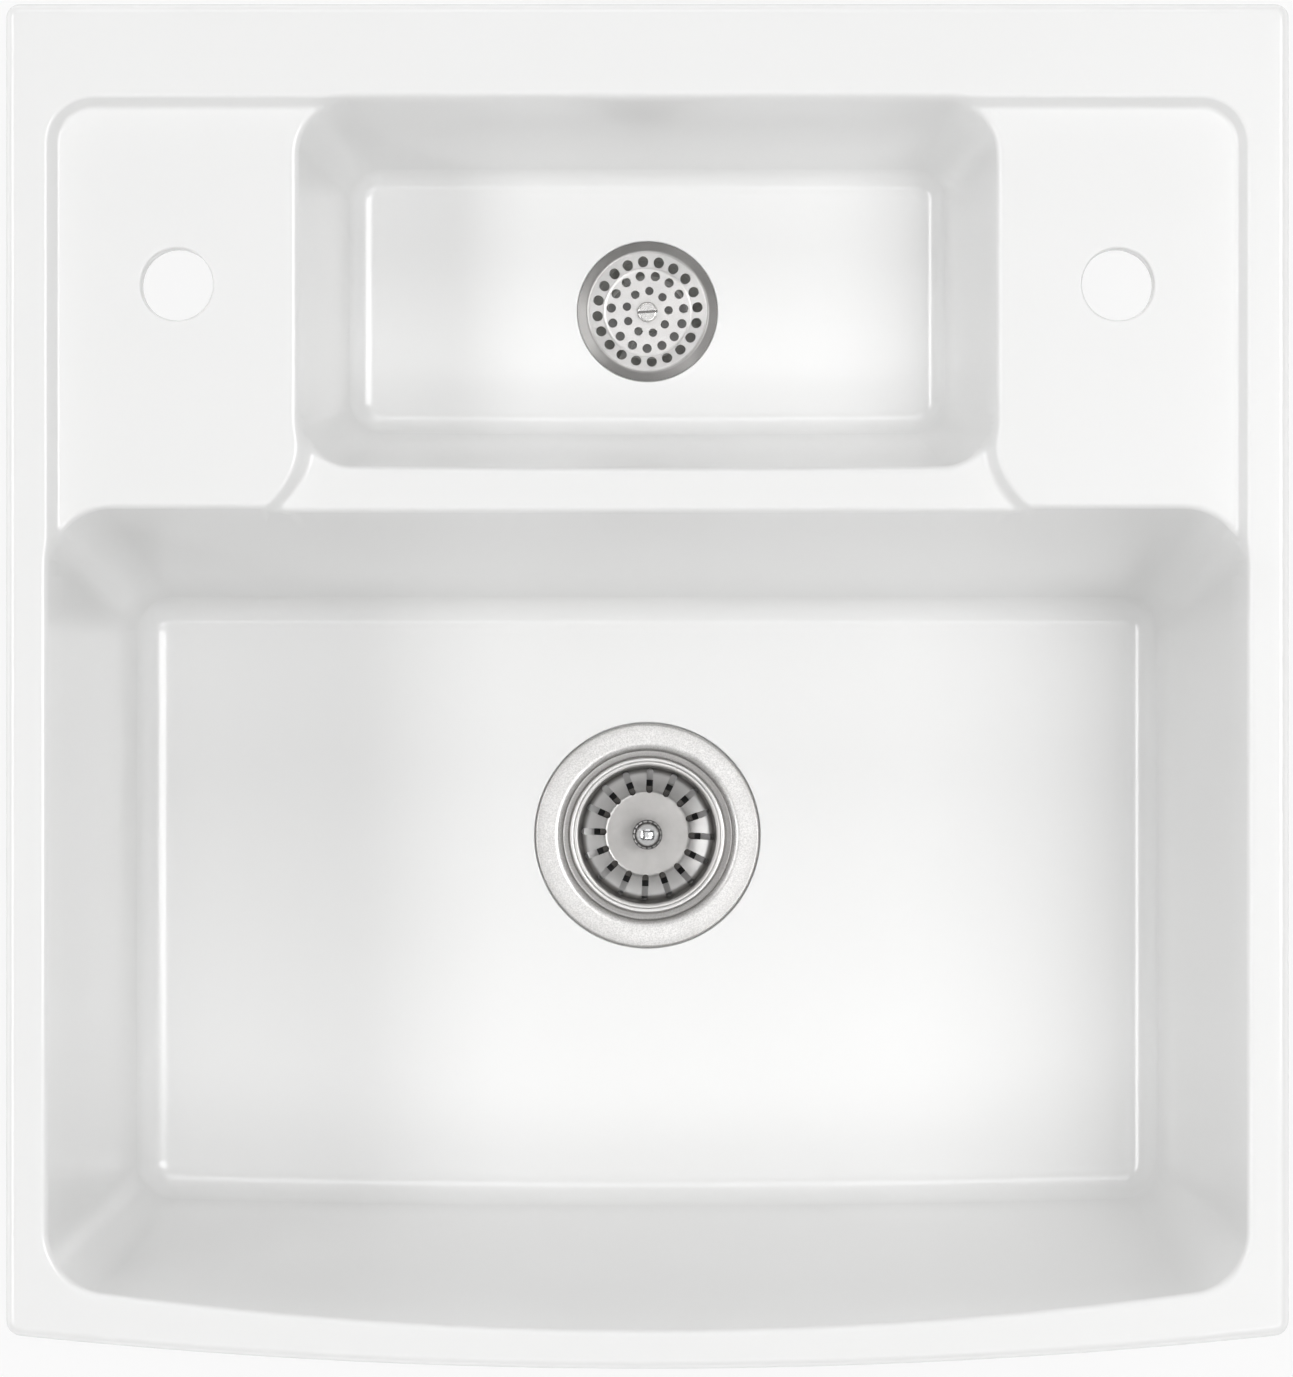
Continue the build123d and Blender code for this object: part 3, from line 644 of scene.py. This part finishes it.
sinkShape = {
    "rim": Outline(297.5, 316.5, -316.5, 16.0, 6.5, 6.5),
    "rimTop": 40.0,
    "rimEdge": 5.0,
    "footEdge": 1.5,
    "sideRows": 6,
    "deck": Basin(
        Outline(278.2, 273.2, 27.4, 0.0, 21.6, 10.6),
        Outline(273.9, 268.9, 31.7, 0.0, 17.5, 8.0),
        40.0, 34.0, 2.6, 3.2,
    ),
    "main": Basin(
        Outline(278.0, 84.3, -298.5, 21.0, 28.0, 24.0),
        Outline(251.8, 41.8, -255.0, 3.0, 17.0, 17.0),
        40.0, -150.0, 3.6, 17.0,
    ),
    "small": Basin(
        Outline(163.8, 273.0, 98.3, 1.0, 24.0, 24.0),
        Outline(141.0, 246.3, 123.3, 1.0, 15.0, 15.0),
        40.0, -60.0, 3.8, 12.5,
    ),
    "saddleTop": 27.0,  # the low strip between the bowls
    "saddleHalf": 162.5,
    "saddleBack": 150,  # its ends lie below the bowls' edges
    "saddleFront": 40,
    "saddleFlareStart": 112.0,
    "saddleFlare": 0.018,
    "saddleTuckStart": 125.0,
    "saddleTuck": 0.1,
    "saddleSlope": 1.25,
    "saddleEdge": 3.6,
    "saddleToe": 5.5,
    "seatSlope": 6.0,
    "seatEdge": 0.7,
    "seatToe": 0.4,
    "seatDepth": 2.0,
    "hollow": Basin(
        Outline(281.0, 300.0, 84.3, 0.0, 4.5, 4.5),
        Outline(283.5, 302.5, 81.8, 0.0, 6.5, 6.5),
        20.0, 0.0, 3.0, 1.5,
    ),
    "mainTub": Basin(
        Outline(287.5, 92.3, -311.0, 16.0, 39.0, 35.0),
        Outline(263.8, 53.8, -287.0, 10.0, 29.0, 29.0),
        22.0, -164.0, 4.0, 18.0,
    ),
    "smallTub": Basin(
        Outline(171.7, 280.2, 90.8, 1.0, 34.0, 34.0),
        Outline(153.0, 258.3, 111.3, 1.0, 27.0, 27.0),
        22.0, -72.0, 4.0, 18.0,
    ),
    "mainCounts": {"front": 100, "side": 64, "back": 160, "corner": 12, "wall": 5},
    "smallCounts": {"front": 60, "side": 34, "back": 60, "corner": 12, "wall": 4},
    "deckCounts": {"front": 40, "side": 50, "back": 100, "corner": 12, "wall": 1},
    "hollowCounts": {"front": 40, "side": 50, "back": 100, "corner": 12, "wall": 2},
    "rimCounts": {"front": 110, "side": 110, "back": 110, "corner": 6},
    "leastCorner": 0.8,
    "holeMargin": 6,
    "fillSpacing": 13.0,
    "fillHalf": 290,
    "fillDepth": 310,
}
# rows of points stop where a bowl's wall, carried on upwards, is lower than this
rowLimits = {"main": 46, "deckToMain": 52, "deckToSmall": 50, "saddleToSmall": 42, "tub": 24}
# least distances of rows from the points before them, and from the rim's line
rowGaps = {"hole": 0.05, "bowl": 0, "deck": 1.0, "saddle": 0.8, "tub": 1.0, "hollow": 0.8, "fill": 6.0}
rimGaps = {"bowl": 1, "fill": 4, "foot": 0.8, "fillBelow": 5}
# largest miss of the faces and shortest side that is still split
topRefine = {"tolerance": 0.04, "shortest": 0.7}
bottomRefine = {"tolerance": 0.08, "shortest": 1.5}
# distances of the rows from the edge of a waste's seat, and from the line of the saddle's ends
seatSteps = (-3.0, -1.2, -0.4, -0.2, 0.0, 0.25, 0.6, 1.0, 3.0, 8.0)
saddleSteps = (-12, -8, -6.6, -5.4, -4.2, -3, -1.8, -0.8, 0, 0.8, 1.6, 2.4, 4)
saddleSpan = np.arange(80, 130, 1.6)
tapHoleSteps = (4.0, 9.0)
ringBelow = 5
# holes: centre, radius, seat radius (0 for none), points round it, edge above and below
sinkHoles = (
    {"centre": (-218.5, 186.7), "radius": 16.75, "seat": 0, "count": 64, "edge": 1.2, "below": 0.8},
    {"centre": (218.5, 186.7), "radius": 16.75, "seat": 0, "count": 64, "edge": 1.2, "below": 0.8},
    {"centre": (0.0, -74.3), "radius": 45.0, "seat": 56.6, "count": 120, "edge": 0.8, "below": 0.8},
    {"centre": (0.0, 180.9), "radius": 30.0, "seat": 34.0, "count": 96, "edge": 0.8, "below": 0.8},
)


def flatAt(height):
    return lambda x, y: np.full(x.shape, height)


def deckSurface(x, y):
    return cutBasin(flatAt(sinkShape["rimTop"])(x, y), sinkShape["deck"], x, y)


def saddleHalfAt(y):
    flare = sinkShape["saddleFlare"] * np.maximum(sinkShape["saddleFlareStart"] - y, 0) ** 2
    tuck = sinkShape["saddleTuck"] * np.maximum(y - sinkShape["saddleTuckStart"], 0)
    return sinkShape["saddleHalf"] + flare - tuck


def plateauSurface(x, y):  # decks and saddle, before the bowls
    slope = sinkShape["saddleSlope"]
    deckTop = sinkShape["deck"].bottom
    lengthwise = np.minimum(sinkShape["saddleBack"] - y, y - sinkShape["saddleFront"])
    wall = deckTop - slope * np.minimum(saddleHalfAt(y) - np.abs(x), lengthwise)
    edge = sinkShape["saddleEdge"]
    return cut(deckSurface(x, y), wall, slope, sinkShape["saddleTop"], edge, sinkShape["saddleToe"])


def topSurface(x, y):
    height = cutBasin(plateauSurface(x, y), sinkShape["small"], x, y)
    height = cutBasin(height, sinkShape["main"], x, y)
    slope = sinkShape["seatSlope"]
    for hole, floor in zip(sinkHoles[2:], (sinkShape["main"].bottom, sinkShape["small"].bottom)):
        radius = np.hypot(x - hole["centre"][0], y - hole["centre"][1])
        wall = floor + slope * (radius - hole["seat"])
        bottom = floor - sinkShape["seatDepth"]
        height = cut(height, wall, slope, bottom, sinkShape["seatEdge"], sinkShape["seatToe"])
    return height


def ceilingSurface(x, y):  # underside of the rim and of the decks
    return cutBasin(flatAt(sinkShape["hollow"].top)(x, y), sinkShape["hollow"], x, y)


def bottomSurface(x, y):
    height = cutBasin(ceilingSurface(x, y), sinkShape["mainTub"], x, y)
    return cutBasin(height, sinkShape["smallTub"], x, y)


def outsideOf(name, limit):  # a test for points that a basin doesn't reach
    return lambda x, y: wallOf(sinkShape[name], x, y)[0] > rowLimits[limit]


def insideRim(margin):
    return lambda x, y: outlineDistance(sinkShape["rim"], x, y) < -margin


def clearOfHoles(x, y):
    clear = np.ones(x.shape, bool)
    for hole in sinkHoles:
        away = np.hypot(x - hole["centre"][0], y - hole["centre"][1])
        clear &= away > hole["radius"] + sinkShape["holeMargin"]
    return clear


def fillRows():
    step = sinkShape["fillSpacing"]
    half = sinkShape["fillHalf"]
    depth = sinkShape["fillDepth"]
    across = np.arange(-half, half + 1, step)
    along = np.arange(-depth, depth + 1, step)
    return [np.column_stack((across, np.full(len(across), y))) for y in along]


def rimLoop(inset):
    rim = sinkShape["rim"]
    least = sinkShape["leastCorner"]
    smaller = Outline(
        rim.half - inset,
        rim.back - inset,
        rim.front + inset,
        rim.bow,
        max(rim.backRadius - inset, least),
        max(rim.frontRadius - inset, least),
    )
    return outlinePoints(smaller, sinkShape["rimCounts"])


def topSheet():
    shape = sinkShape
    sheet = Sheet(topSurface)
    sheet.addLoop(rimLoop(shape["rimEdge"]))
    for hole in sinkHoles:
        lip = hole["radius"] + hole["edge"]
        sheet.addLoop(circlePoints(hole["centre"], lip, hole["count"]))
    for hole in sinkHoles:
        steps = tapHoleSteps
        if hole["seat"]:
            steps = [hole["seat"] - hole["radius"] + s for s in seatSteps]
        radii = [hole["radius"] + step for step in steps]
        rings = [circlePoints(hole["centre"], radius, hole["count"]) for radius in radii]
        sheet.addRows(rings, rowGaps["hole"])
    main = basinRings(shape["main"], plateauSurface, shape["mainCounts"])
    sheet.addRows(main, rowGaps["bowl"], insideRim(shape["rimEdge"] + rimGaps["bowl"]))
    small = basinRings(shape["small"], plateauSurface, shape["smallCounts"])
    clearOfMain = outsideOf("main", "main")
    sheet.addRows(small, rowGaps["bowl"], clearOfMain)
    deck = basinRings(shape["deck"], flatAt(shape["rimTop"]), shape["deckCounts"])
    clearOfBowls = (outsideOf("main", "deckToMain"), outsideOf("small", "deckToSmall"))
    sheet.addRows(deck, rowGaps["deck"], *clearOfBowls)
    y = saddleSpan
    for side in (-1, 1):
        saddle = [np.column_stack((side * (saddleHalfAt(y) + step), y)) for step in saddleSteps]
        sheet.addRows(saddle, rowGaps["saddle"], clearOfMain, outsideOf("small", "saddleToSmall"))
    inRim = insideRim(shape["rimEdge"] + rimGaps["fill"])
    sheet.addRows(fillRows(), rowGaps["fill"], inRim, clearOfHoles, joined=False)
    for _ in range(2):
        sheet.refine(**topRefine)
    return sheet


def bottomSheet():
    shape = sinkShape
    sheet = Sheet(bottomSurface)
    sheet.addLoop(rimLoop(shape["footEdge"]))
    for hole in sinkHoles:
        lip = hole["radius"] + hole["below"]
        sheet.addLoop(circlePoints(hole["centre"], lip, hole["count"]))
    for hole in sinkHoles:
        ring = circlePoints(hole["centre"], hole["radius"] + ringBelow, hole["count"])
        sheet.addRows([ring], rowGaps["hole"])
    inFoot = insideRim(shape["footEdge"] + rimGaps["foot"])
    mainTub = basinRings(shape["mainTub"], ceilingSurface, shape["mainCounts"])
    sheet.addRows(mainTub, rowGaps["bowl"], inFoot)
    smallTub = basinRings(shape["smallTub"], ceilingSurface, shape["smallCounts"])
    clearOfMain = outsideOf("mainTub", "tub")
    sheet.addRows(smallTub, rowGaps["tub"], clearOfMain)
    hollow = basinRings(shape["hollow"], flatAt(shape["hollow"].top), shape["hollowCounts"])
    sheet.addRows(hollow, rowGaps["hollow"], inFoot, clearOfMain, outsideOf("smallTub", "tub"))
    inRim = insideRim(rimGaps["fillBelow"])
    sheet.addRows(fillRows(), rowGaps["fill"], inRim, clearOfHoles, joined=False)
    sheet.refine(**bottomRefine)
    return sheet


def addSheet(casting, sheet, lip, faceUp):
    corners, triangles, loops = sheet.triangles()
    heights = sheet.surface(*corners.T)
    alongX, alongY = slopesOf(sheet.surface, *corners.T)
    normals = np.column_stack((-alongX, -alongY, np.ones(len(corners))))
    normals /= np.linalg.norm(normals, axis=1)[:, None]
    indices = np.array(casting.addPoints(corners, heights, normals if faceUp else -normals))
    middles = corners[triangles].mean(axis=1)
    keep = np.ones(len(triangles), bool)
    for hole in sinkHoles:
        away = np.hypot(middles[:, 0] - hole["centre"][0], middles[:, 1] - hole["centre"][1])
        keep &= away > hole["radius"] + hole[lip] - 0.01
    faces = indices[triangles[keep]]
    casting.faces.extend((faces if faceUp else faces[:, ::-1]).tolist())
    return [indices[loop].tolist() for loop in loops], [heights[loop].mean() for loop in loops]


def addRimSide(casting, topLoop, bottomLoop):
    edge = sinkShape["rimEdge"]
    foot = sinkShape["footEdge"]
    top = sinkShape["rimTop"]
    rows = []
    for turn in np.radians((15, 30, 45, 60, 75, 90)):
        rows.append((edge - edge * np.sin(turn), top - edge + edge * np.cos(turn)))
    for height in np.linspace(top - edge, foot, sinkShape["sideRows"])[1:]:
        rows.append((0, height))
    for turn in np.radians((30, 60)):
        rows.append((foot - foot * np.cos(turn), foot - foot * np.sin(turn)))
    last = topLoop
    for inset, height in rows:
        loop = rimLoop(inset)
        row = casting.addPoints(loop, [height] * len(loop))
        casting.bridge(last, row)
        last = row
    casting.bridge(last, bottomLoop)


def addBore(casting, hole, topLoop, bottomLoop, top, bottom):
    rows = []
    edge = hole["edge"]
    below = hole["below"]
    for turn in np.radians((30, 60, 90)):
        rows.append((edge - edge * np.sin(turn), top - edge + edge * np.cos(turn)))
    rows.append((0, (top + bottom) / 2))
    for turn in np.radians((0, 30, 60)):
        rows.append((below - below * np.cos(turn), bottom + below - below * np.sin(turn)))
    last = topLoop
    for widening, height in rows:
        loop = circlePoints(hole["centre"], hole["radius"] + widening, hole["count"])
        row = casting.addPoints(loop, [height] * len(loop))
        casting.bridge(row, last)
        last = row
    casting.bridge(bottomLoop, last)


def makeSink():
    casting = Casting()
    topLoops, topHeights = addSheet(casting, topSheet(), "edge", True)
    bottomLoops, bottomHeights = addSheet(casting, bottomSheet(), "below", False)
    addRimSide(casting, topLoops[0], bottomLoops[0])
    for i, hole in enumerate(sinkHoles, 1):
        addBore(casting, hole, topLoops[i], bottomLoops[i], topHeights[i], bottomHeights[i])
    mesh = bpy.data.meshes.new("glazedSink")
    mesh.from_pydata([Vector(p) * metresPerMm for p in casting.points], [], casting.faces)
    shape = bmesh.new()
    shape.from_mesh(mesh)
    bmesh.ops.join_triangles(
        shape, faces=shape.faces, angle_face_threshold=0.1, angle_shape_threshold=1.0
    )
    for face in shape.faces:
        face.smooth = True
    shape.to_mesh(mesh)
    mesh.normals_split_custom_set_from_vertices(casting.normals)
    openEdges = sum(not edge.is_manifold for edge in shape.edges)
    shape.free()
    counts = (len(mesh.vertices), "points,", len(mesh.polygons), "faces,", openEdges, "open edges")
    print("sink body:", *counts)
    sink = bpy.data.objects.new("glazedSink", mesh)
    scene.collection.objects.link(sink)
    mesh.materials.append(makeGlaze())
    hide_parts("sink_body")
    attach(sink, "sink")


makeSink()


# floor, world, lamps and camera
studio = {
    "floorSize": 8.0,
    "floorColour": (0.82, 0.82, 0.82),
    "floorGap": 0.0005,
    # the floor's painted shadow below the small outlet: its colour, then its centre
    "paintedFloorShadow": (0.25, 0.25, 0.25),
    "paintedShadowPlace": (0.0, 0.196),  # centre of the painted shadow, where the small grid's holes show the floor
    "shadeReach": 0.2,
    "whiteShare": 0.85,
    "horizon": (0.02, 0.18),  # white up to the first height, darker overhead from the second
    "zenith": 0.16,
    "cameraHeight": 2.44,
    "cameraX": -0.00046,
    "cameraY": -0.00093,
    "focalPixels": 5184,
    "sensor": 36.0,
    "viewEnd": 50,
}
# lamps: place, point they face, width and depth of the panel, watts
studioLamps = {
    "over": ((0.0, 0.0, 3.2), (0.0, 0.0, 0.0), (2.6, 2.6), 15.5),
    "overRight": ((1.6, 0.2, 3.0), (0.0, 0.0, 0.0), (1.2, 1.6), 34),
    "overFront": ((0.2, -1.5, 2.8), (0.1, -0.1, 0.0), (2.4, 0.4), 9),
    "back": ((0.0, 2.2, 2.2), (0.0, 0.0, 0.0), (2.4, 1.0), 18.5),
    "front": ((0.0, -2.2, 1.6), (0.0, 0.0, 0.0), (2.4, 0.6), 3),
    "left": ((-2.2, 0.0, 2.2), (0.0, 0.0, 0.0), (2.4, 0.6), 30),
    "nearFront": ((0.9, -0.8, 1.7), (0.1, -0.1, 0.0), (0.6, 0.6), 4),
    "lowFront": ((0.0, -2.3, 0.0), (0.0, 0.0, 0.0), (2.4, 0.5), 6),
    "lowBack": ((0.0, 2.3, 0.0), (0.0, 0.0, 0.0), (2.4, 0.5), 6),
    "lowLeft": ((-2.3, 0.0, 0.0), (0.0, 0.0, 0.0), (2.4, 0.5), 6),
    "lowRight": ((2.3, 0.0, 0.0), (0.0, 0.0, 0.0), (2.4, 0.5), 6),
}


def seenRays(nodes):  # 1 for rays that show the background itself
    kinds = ("Is Camera Ray", "Is Glossy Ray", "Is Transmission Ray")
    seen, glossy, through = (nodes.node("ShaderNodeLightPath", {}, {}, kind) for kind in kinds)
    return seen.maths("MAXIMUM", seen, seen.maths("MAXIMUM", glossy, through))


def makeFloor():
    half = studio["floorSize"] / 2
    low = cadBox[0][2] - studio["floorGap"]
    mesh = bpy.data.meshes.new("floor")
    corners = [(-half, -half, low), (half, -half, low), (half, half, low), (-half, half, low)]
    mesh.from_pydata(corners, [], [(0, 1, 2, 3)])
    floor = bpy.data.objects.new("floor", mesh)
    scene.collection.objects.link(floor)
    finish = Finish("floor", {"Roughness": 0.9})
    x, y, _ = finish.axes(finish.place())
    share = seenRays(finish) * studio["whiteShare"]

    def away(place):  # as a share of the shade's reach
        across = x - place[0]
        along = y - place[1]
        return (across * across + along * along) ** 0.5 / studio["shadeReach"]

    for axis in (mainAxis, smallAxis):  # the floor stays in shadow below the outlets
        share = share * finish.ramp(away(axis), (0.15, 0), (0.5, 0.75), (1, 1))
    # painted shadow: the floor's colour darkens below the small outlet, so that the small grid's holes
    # look dark
    clearOfPaintedShadow = finish.ramp(away(studio["paintedShadowPlace"]), (0.09, 0), (0.27, 1))
    finish.set("Base Color", finish.mix(clearOfPaintedShadow, studio["paintedFloorShadow"], studio["floorColour"]))
    body = Wire(finish, finish.shader.outputs[0])
    white = finish.node("ShaderNodeEmission", {}, {"Color": (1, 1, 1, 1)})
    finish.joined(share, body, white, "Material Output")
    mesh.materials.append(finish.material)


def makeWorld():
    world = bpy.data.worlds.new("studio")
    world.use_nodes = True
    scene.world = world
    nodes = Nodes(world.node_tree)
    height = nodes.axes(nodes.node("ShaderNodeTexCoord", {}, {}, "Generated"))[2]
    ground = nodes.tree.nodes["Background"]
    nodes.feed(ground.inputs["Color"], (1, 1, 1, 1))
    low, high = studio["horizon"]
    nodes.feed(ground.inputs["Strength"], nodes.ramp(height, (low, 1), (high, studio["zenith"])))


def makeLamps():
    for name, (place, target, size, power) in studioLamps.items():
        lamp = bpy.data.lights.new(name, "AREA")
        lamp.shape = "RECTANGLE"
        lamp.size, lamp.size_y = size
        lamp.energy = power
        panel = bpy.data.objects.new(name, lamp)
        panel.location = place
        panel.visible_camera = False
        panel.rotation_euler = (Vector(target) - Vector(place)).to_track_quat("-Z", "Y").to_euler()
        scene.collection.objects.link(panel)


def makeCamera():
    lens = bpy.data.cameras.new("photoCamera")
    lens.sensor_fit = "VERTICAL"
    lens.sensor_height = studio["sensor"]
    lens.lens = studio["focalPixels"] / photoHeight * studio["sensor"]
    lens.clip_end = studio["viewEnd"]
    camera = bpy.data.objects.new("photoCamera", lens)
    camera.location = (studio["cameraX"], studio["cameraY"], studio["cameraHeight"])
    scene.collection.objects.link(camera)
    scene.camera = camera


makeFloor()
makeWorld()
makeLamps()
makeCamera()
scene.view_settings.view_transform = "Standard"
print("studio made:", len(studioLamps), "lamps")
